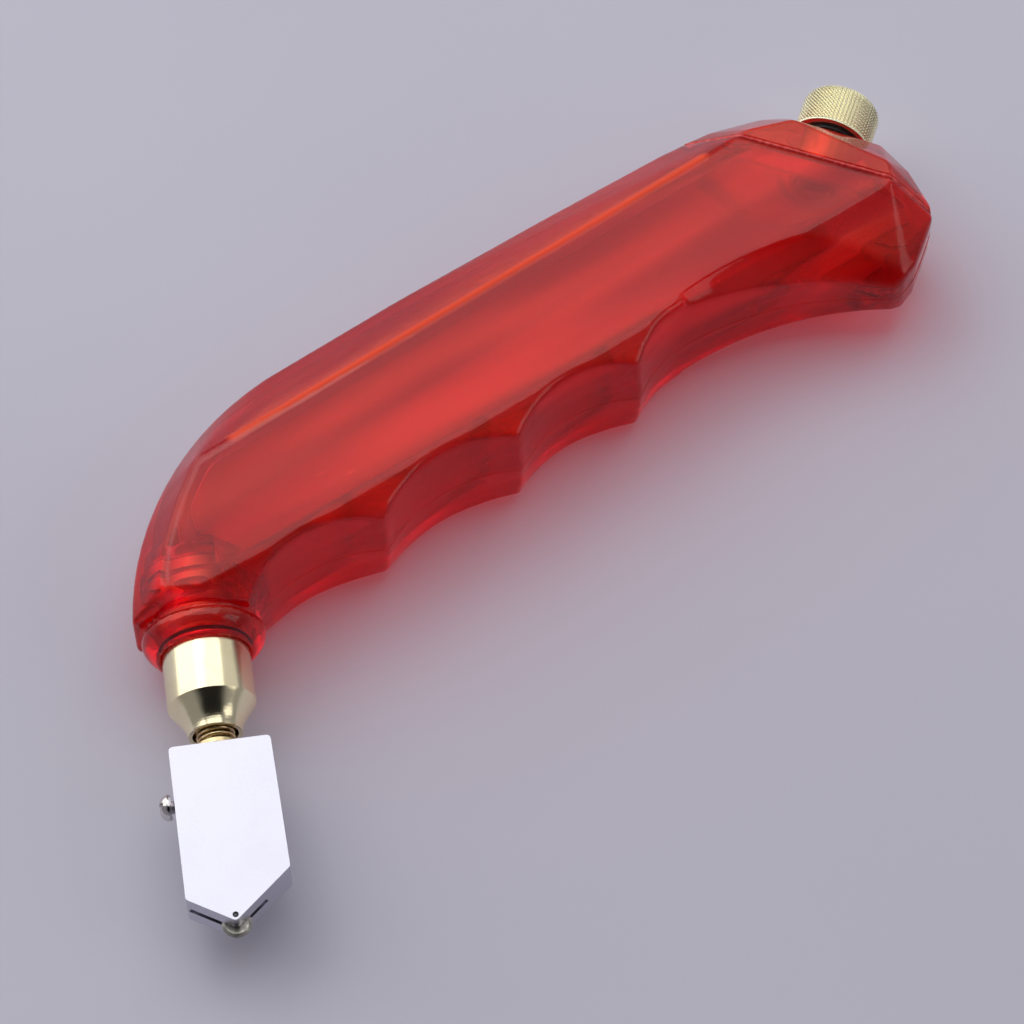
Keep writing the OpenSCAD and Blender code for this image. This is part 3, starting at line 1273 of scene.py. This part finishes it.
@dataclass
class Stem:
    """The stem that carries the head, with its spring, its washer, its clip and its wick."""

    axis: Axis
    wire: float = 0.24 * MM
    turns: int = 12
    steps: int = 36
    sides: int = 10

    def build(self) -> None:
        """Builds the spring and dresses the rest."""
        along = tuple(self.axis.along)
        wire = PlainMetal("SpringWire", (0.86, 0.66, 0.36), (0.5, 0.33, 0.14), roughness=0.18).material()
        brass = TurnedMetal(
            "StemBrass", (0.82, 0.66, 0.38), (0.5, 0.36, 0.18), along, roughness=0.24
        ).material()
        spring = dress(self.spring(), wire, None, ["return_spring"])
        first, last = self.axis.span("return_spring")
        self.axis.point(first)
        self.axis.point(last)
        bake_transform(spring)
        dress_node("spindle", brass)
        dress_node("valve_washer", Rubber("ValveRubber").material())
        clip = PlainMetal("ClipSteel", (0.62, 0.62, 0.65), (0.35, 0.35, 0.37)).material()
        dress_node("retaining_clip", clip)
        dress_node("oil_wick", WickFelt("WickFelt").material())

    def spring(self) -> bpy.types.Object:
        """The return spring, one round wire along a helix.

        Returns:
            The piece.
        """
        first, last = self.axis.span("return_spring")
        radius = self.axis.reach("return_spring") - self.wire
        start, end = first + self.wire, last - self.wire
        count = self.turns * self.steps
        path = [
            self.axis.ring(start + (end - start) * i / count, radius, math.tau * i / self.steps)
            for i in range(count + 1)
        ]
        return sweep("spring", path, lambda i: self.wire, sides=self.sides)


@dataclass
class Head:
    """The plated head with its slot, its axle and its wheel."""

    nose: Axis
    wheel_axis: Axis
    width: float = 13.6 * MM
    widening: float = 0.4 * MM
    right_side: float = 19.4 * MM
    left_side: float = 22.2 * MM
    tip: tuple[float, float] = (6.2 * MM, 26.1 * MM)
    left: float = -6.4 * MM
    slot: float = 1.1 * MM
    slot_from: float = 22.3 * MM
    stem_hole: float = 1.8 * MM
    stem_depth: float = 9.1 * MM
    oil_hole: float = 0.9 * MM
    lock_hole: float = 0.95 * MM
    lock_at: float = 7.4 * MM
    corner: float = 0.7 * MM
    edge: float = 0.2 * MM
    sunk: float = 0.12 * MM
    land: float = 0.03 * MM
    slope: float = 0.4 * MM

    def build(self) -> None:
        """Builds the head, the axle and the wheel."""
        chrome = PlatedMetal("SatinChrome", (0.63, 0.625, 0.695), (0.6, 0.595, 0.66), roughness=0.24).material()
        steel = PlainMetal("AxleSteel", (0.12, 0.12, 0.13), (0.05, 0.05, 0.055), roughness=0.35).material()
        carbide = PlainMetal("Carbide", (0.55, 0.53, 0.46), (0.3, 0.29, 0.25), roughness=0.22).material()
        dress(self.block(), chrome, Body.HEAD, ["cutter_head"])
        dress(self.axle(), steel, Body.HEAD, ["wheel_axle"])
        dress(self.wheel(), carbide, Body.WHEEL, ["cutting_wheel"])

    def block(self) -> bpy.types.Object:
        """The head itself, a thick plate with bevelled edges, a slot and bores.

        Returns:
            The piece.
        """
        low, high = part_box("cutter_head")
        thick = high.z - low.z
        top = self.nose.span("cutter_head")[0]
        corners = [
            (0.0, 0.0), (self.width, 0.0), (self.width + self.widening, self.right_side), self.tip,
            (0.0, self.left_side),
        ]
        outline = [
            self.nose.point(top + y, self.left + x, -thick / 2) for x, y in rounded(corners, self.corner)
        ]
        block = slab("head_block", outline, self.nose.third * thick)
        carve(block, self.cutters(top, thick))
        modify(block, "BEVEL", {
            "width": self.edge, "segments": 3, "limit_method": "ANGLE", "angle_limit": math.radians(38),
            "use_clamp_overlap": True, "harden_normals": True,
        })
        bake_modifiers(block)
        return block

    def cutters(self, top: float, thick: float) -> list[bpy.types.Object]:
        """What is cut out of the head.

        Args:
            top: The station of the head's top edge.
            thick: The head's thickness.

        Returns:
            The slot, the stem's bore, the oil way, the lock screw's bore and the axle's bore.
        """
        margin = 1 * MM
        slot_top = top + self.slot_from
        half = self.slot / 2
        sides = (self.left - margin, self.left + self.width + 2 * margin)
        slot = slab("slot", [
            self.nose.point(s, a, -half) for s, a in (
                (slot_top, sides[0]), (slot_top, sides[1]), (top + 2 * self.left_side, sides[1]),
                (top + 2 * self.left_side, sides[0]))
        ], self.nose.third * self.slot)
        stem = lathe("stem_bore", self.nose, [
            (top - margin, 0), (top - margin, self.stem_hole), (top + self.stem_depth, self.stem_hole),
            (top + self.stem_depth, self.oil_hole), (slot_top + margin, self.oil_hole), (slot_top + margin, 0),
        ], segments=64)
        across = Axis(self.nose.point(top + self.lock_at), -self.nose.across, self.nose.along)
        lock = lathe("lock_bore", across, [
            (0, 0), (0, self.lock_hole), (-self.left + margin, self.lock_hole), (-self.left + margin, 0),
        ], segments=48)
        pin = self.wheel_axis
        radius = pin.reach("wheel_axle")
        bore = lathe("axle_bore", pin, [
            (-thick, 0), (-thick, radius), (thick, radius), (thick, 0),
        ], segments=48)
        return [slot, stem, lock, bore]

    def axle(self) -> bpy.types.Object:
        """The axle, a pin that ends just below the head's faces.

        Returns:
            The piece.
        """
        first, last = self.wheel_axis.span("wheel_axle")
        radius = self.wheel_axis.reach("wheel_axle")
        first, last = first + self.sunk, last - self.sunk
        profile = [(first, 0), (first, radius), (last, radius), (last, 0)]
        return lathe("axle_pin", self.wheel_axis, profile, segments=48)

    def wheel(self) -> bpy.types.Object:
        """The scoring wheel, with its rim ground to a blunt edge.

        Returns:
            The piece.
        """
        first, last = self.wheel_axis.span("cutting_wheel")
        rim = self.wheel_axis.reach("cutting_wheel")
        bore = self.wheel_axis.reach("wheel_axle") + 0.05 * MM
        land, slope = self.land, self.slope
        profile = [
            (first, bore), (first, rim - slope), (-land, rim), (land, rim), (last, rim - slope), (last, bore),
        ]
        return lathe("scoring_wheel", self.wheel_axis, rounded(profile, land), segments=128)


@dataclass
class LockScrew:
    """The small domed screw in the head's side."""

    axis: Axis
    radius: float = 0.9 * MM
    dome_height: float = 1.6 * MM
    slot_width: float = 0.5 * MM
    slot_depth: float = 0.55 * MM
    thread_pitch: float = 0.35 * MM

    def build(self) -> None:
        """Builds the screw."""
        chrome = PlatedMetal(
            "BrightChrome", (0.72, 0.69, 0.68), (0.55, 0.52, 0.5), roughness=0.07, grain_depth=0.001 * MM
        ).material()
        dress(self.screw(), chrome, Body.LOCK, ["lock_screw"])

    def screw(self) -> bpy.types.Object:
        """The threaded shank and the domed head with its driver's slot.

        Returns:
            The piece.
        """
        tip, top = self.axis.span("lock_screw")
        dome = self.axis.reach("lock_screw")
        under = top - self.dome_height
        crown = [
            (under + self.dome_height * math.sin(a), dome * math.cos(a) ** 0.55)
            for a in (math.radians(d) for d in range(12, 90, 6))
        ]
        profile = [(tip, 0), (tip, self.radius * 0.8)]
        teeth = int((under - tip) / self.thread_pitch)
        for i in range(teeth):
            start = tip + 0.1 * MM + i * self.thread_pitch
            profile += [(start, self.radius * 0.86), (start + self.thread_pitch / 2, self.radius)]
        profile += [(under, self.radius * 0.9), (under, dome * 0.9), *crown, (top, 0)]
        screw = lathe("lock_screw_chrome", self.axis, profile, segments=72)
        half, depth = self.slot_width / 2, self.slot_depth
        cutter = slab("driver_slot", [
            self.axis.point(top - depth, a, -2 * dome) for a in (-half, half)
        ] + [self.axis.point(top + depth, a, -2 * dome) for a in (half, -half)], self.axis.third * 4 * dome)
        carve(screw, [cutter])
        modify(screw, "EDGE_SPLIT", {"split_angle": math.radians(40)})
        bake_modifiers(screw)
        return screw


@dataclass
class Filler:
    """The knurled filler screw, its washer and the insert that it screws into."""

    axis: Axis
    grooves: int = 60
    rows: int = 15
    groove_depth: float = 0.27 * MM
    steps_round: int = 7
    steps_along: int = 6
    shoulder: float = 1.5 * MM
    shank: float = 2.5 * MM
    pitch: float = 0.8 * MM
    thread_depth: float = 0.22 * MM
    shank_length: float = 7.0 * MM
    skirt: float = 0.24 * MM
    washer_gap: float = 0.12 * MM
    squeeze: float = 0.45 * MM

    def build(self) -> None:
        """Builds the knob and dresses the rest."""
        along = tuple(self.axis.along)
        brass = TurnedMetal(
            "KnurledBrass", (1.0, 0.96, 0.7), (1.0, 0.93, 0.62), along, roughness=0.22,
            ring_depth=0.0004 * MM, metal=0.85,
        ).material()
        dull = TurnedMetal("InsertBrass", (0.8, 0.62, 0.33), (0.55, 0.4, 0.2), along, roughness=0.3).material()
        dress(self.knob(), brass, Body.FILLER, ["filler_screw"])
        rubber = Rubber("WasherRubber").material()
        dress(self.washer(), rubber, Body.WASHER, ["filler_washer"])
        dress_node("filler_insert", dull)

    def crown(self, share: float, height: float, radius: float) -> Station:
        """The knob's outline from its lower edge, up its side and over its rounded end.

        Args:
            share: How far along the outline, from 0 to 1.
            height: The knob's height.
            radius: The knob's radius.

        Returns:
            The station above the lower edge, and the radius there.
        """
        straight = height - self.shoulder
        bend = self.shoulder * math.pi / 2
        walked = share * (straight + bend)
        if walked <= straight:
            return walked, radius
        angle = (walked - straight) / self.shoulder
        return straight + self.shoulder * math.sin(angle), radius - self.shoulder * (1 - math.cos(angle))

    def knob(self) -> bpy.types.Object:
        """The knob, with two crossing sets of grooves cut in its side and round its end.

        Returns:
            The piece.
        """
        base = self.axis.span("filler_washer")[1] - self.skirt
        top = self.axis.span("filler_screw")[1]
        radius = self.axis.reach("filler_screw")
        around = self.grooves * self.steps_round
        upward = self.rows * self.steps_along
        work = bmesh.new()
        rings = []
        for j in range(upward + 1):
            share = j / upward
            station, wide = self.crown(share, top - base, radius)
            edge = min(1.0, share * 14, (1 - share) * 8)
            ring = []
            for i in range(around):
                turn = i / self.steps_round
                climb = j / self.steps_along
                cut = max(self.groove(turn + climb), self.groove(turn - climb)) * edge
                ring.append(work.verts.new(
                    self.axis.ring(base + station, wide - cut * self.groove_depth, math.tau * i / around)
                ))
            rings.append(ring)
        for lower, upper in zip(rings, rings[1:]):
            for i in range(around):
                k = (i + 1) % around
                work.faces.new((lower[i], lower[k], upper[k], upper[i]))
        work.faces.new(rings[-1])
        self.close_with_shank(work, rings[0], base)
        return make_object("knob", work, smooth=False)

    def groove(self, phase: float) -> float:
        """How deep a groove is at a phase: 1 in its middle, and 0 on the land between two."""
        away = abs((phase % 1.0) - 0.5) * 2
        return max(0.0, 1 - away * 1.15)

    def close_with_shank(self, work: bmesh.types.BMesh, rim: list[bmesh.types.BMVert], base: float) -> None:
        """Adds the knob's underside and its threaded shank.

        Args:
            work: The knob's mesh work.
            rim: The lowest ring of its side.
            base: The station of that ring.
        """
        around = len(rim)
        hollow = self.axis.reach("filler_washer") + self.washer_gap
        stations = [(base, hollow), (base + self.skirt, hollow), (base + self.skirt, self.shank)]
        turns = int(self.shank_length / self.pitch)
        for i in range(turns):
            start = base - self.pitch * (i + 0.4)
            stations += [(start, self.shank), (start - self.pitch / 2, self.shank - self.thread_depth)]
        stations.append((base - self.shank_length, self.shank - self.thread_depth))
        last = rim
        for station, wide in stations:
            ring = [work.verts.new(self.axis.ring(station, wide, math.tau * i / around)) for i in range(around)]
            for i in range(around):
                k = (i + 1) % around
                work.faces.new((last[i], last[k], ring[k], ring[i]))
            last = ring
        work.faces.new(last)

    def washer(self) -> bpy.types.Object:
        """The washer, a rubber ring with rounded edges.

        Returns:
            The piece.
        """
        first, last = self.axis.span("filler_washer")
        outer = self.axis.reach("filler_washer") - self.squeeze
        bore = self.shank + 0.05 * MM
        profile = [(first, bore), (first, outer), (last, outer), (last, bore)]
        return lathe("sealing_washer", self.axis, rounded(profile, 0.25 * MM), segments=96)


# ---------------------------------------------------------------------------------------------------
# The studio
# ---------------------------------------------------------------------------------------------------


@dataclass
class Studio:
    """The table, the lamps and the camera."""

    target: Vector
    distance: float = 0.542
    azimuth: float = -33.4
    elevation: float = 60.0
    lens: float = 135.3
    sensor: float = 36.0
    table: float = 2.4
    dark_side: tuple[float, float] = (-22.0, 58.0)
    dark_from: float = 0.74
    dark_to: float = 0.9
    room_colour: Colour = (0.24, 0.24, 0.265)
    dark_colour: Colour = (0.008, 0.008, 0.01)

    def build(self) -> None:
        """Builds the table, the sky, the lamps and the camera."""
        self.tabletop()
        self.sky()
        self.lamp("LeftSoftbox", -158.0, 32.0, 1.0, 1.15, 1.3, (1.0, 0.99, 0.97))
        self.lamp("TopSoftbox", 148.0, 68.0, 1.1, 1.2, 1.16, (0.985, 0.99, 1.0))
        self.lamp("FrontFill", 44.0, 32.0, 1.2, 0.6, 0.95, (1.0, 0.99, 0.97))
        self.lamp("RightFill", 100.0, 30.0, 1.2, 0.8, 0.36, (1.0, 0.985, 0.95))
        self.camera()

    def direction(self, azimuth: float, elevation: float) -> Vector:
        """The direction from the target that an azimuth and an elevation give, as the camera's are given."""
        a, e = math.radians(azimuth), math.radians(elevation)
        return Vector((math.sin(a) * math.cos(e), -math.cos(a) * math.cos(e), math.sin(e)))

    def tabletop(self) -> None:
        """The pale table, a wide disc just under the tool."""
        work = bmesh.new()
        bmesh.ops.create_circle(work, cap_ends=True, segments=96, radius=self.table)
        top = make_object("Tabletop", work, smooth=False)
        top.location = (0, 0, CAD_LOW.z - 0.02 * MM)
        top.data.materials.append(Tabletop().material())

    def sky(self) -> None:
        """The room's even light, with a dark patch on one side."""
        world = bpy.data.worlds.new("Room")
        shade = Shade("Room", world)
        toward = shade.node(
            "ShaderNodeVectorMath", {"operation": "DOT_PRODUCT"},
            {0: shade.node("ShaderNodeTexCoord").outputs["Generated"], 1: self.direction(*self.dark_side)},
        )
        dark = Value(shade, toward.outputs["Value"]).ramp(self.dark_from, self.dark_to, curve="LINEAR")
        background = shade.node(
            "ShaderNodeBackground", inputs={"Color": shade.mix(dark, self.room_colour, self.dark_colour)},
        )
        shade.node("ShaderNodeOutputWorld", inputs={"Surface": background.outputs["Background"]})
        bpy.context.scene.world = world

    def lamp(
        self, name: str, azimuth: float, elevation: float, away: float, size: float, radiance: float,
        colour: Colour,
    ) -> None:
        """A square softbox that faces the tool.

        Args:
            name: The lamp's name.
            azimuth: Where it stands, as the camera's azimuth is given.
            elevation: Its height above the horizon, in degrees.
            away: Its distance from the tool.
            size: The length of its side.
            radiance: How bright its face is.
            colour: Its colour.
        """
        light = bpy.data.lights.new(name, "AREA")
        light.energy = radiance * math.pi * size**2
        light.size = size
        light.color = colour
        lamp = bpy.data.objects.new(name, light)
        back = self.direction(azimuth, elevation)
        lamp.location = self.target + back * away
        lamp.rotation_mode = "QUATERNION"
        lamp.rotation_quaternion = (-back).to_track_quat("-Z", "Y")
        bpy.context.scene.collection.objects.link(lamp)

    def camera(self) -> None:
        """The camera."""
        data = bpy.data.cameras.new("Camera")
        data.lens = self.lens
        data.sensor_width = self.sensor
        data.clip_start, data.clip_end = 0.01, 20.0
        camera = bpy.data.objects.new("Camera", data)
        back = self.direction(self.azimuth, self.elevation)
        camera.location = self.target + back * self.distance
        camera.rotation_mode = "QUATERNION"
        camera.rotation_quaternion = (-back).to_track_quat("-Z", "Y")
        bpy.context.scene.collection.objects.link(camera)
        bpy.context.scene.camera = camera
        bpy.context.scene.view_settings.view_transform = "Standard"


def main() -> None:
    """Builds the tool and its studio."""
    logging.basicConfig(level=logging.INFO, format="%(name)s %(message)s")
    nose = joint_axis("head_swivel")
    Studio(target=Vector((-3.62 * MM, 3.75 * MM, 0))).build()
    Grip(joint_axis("filler_turn")).build()
    Nose(nose).build()
    Stem(nose).build()
    Head(nose, joint_axis("wheel_spin")).build()
    LockScrew(joint_axis("lock_screw_turn")).build()
    Filler(joint_axis("filler_turn")).build()


if __name__ == "__main__":
    main()
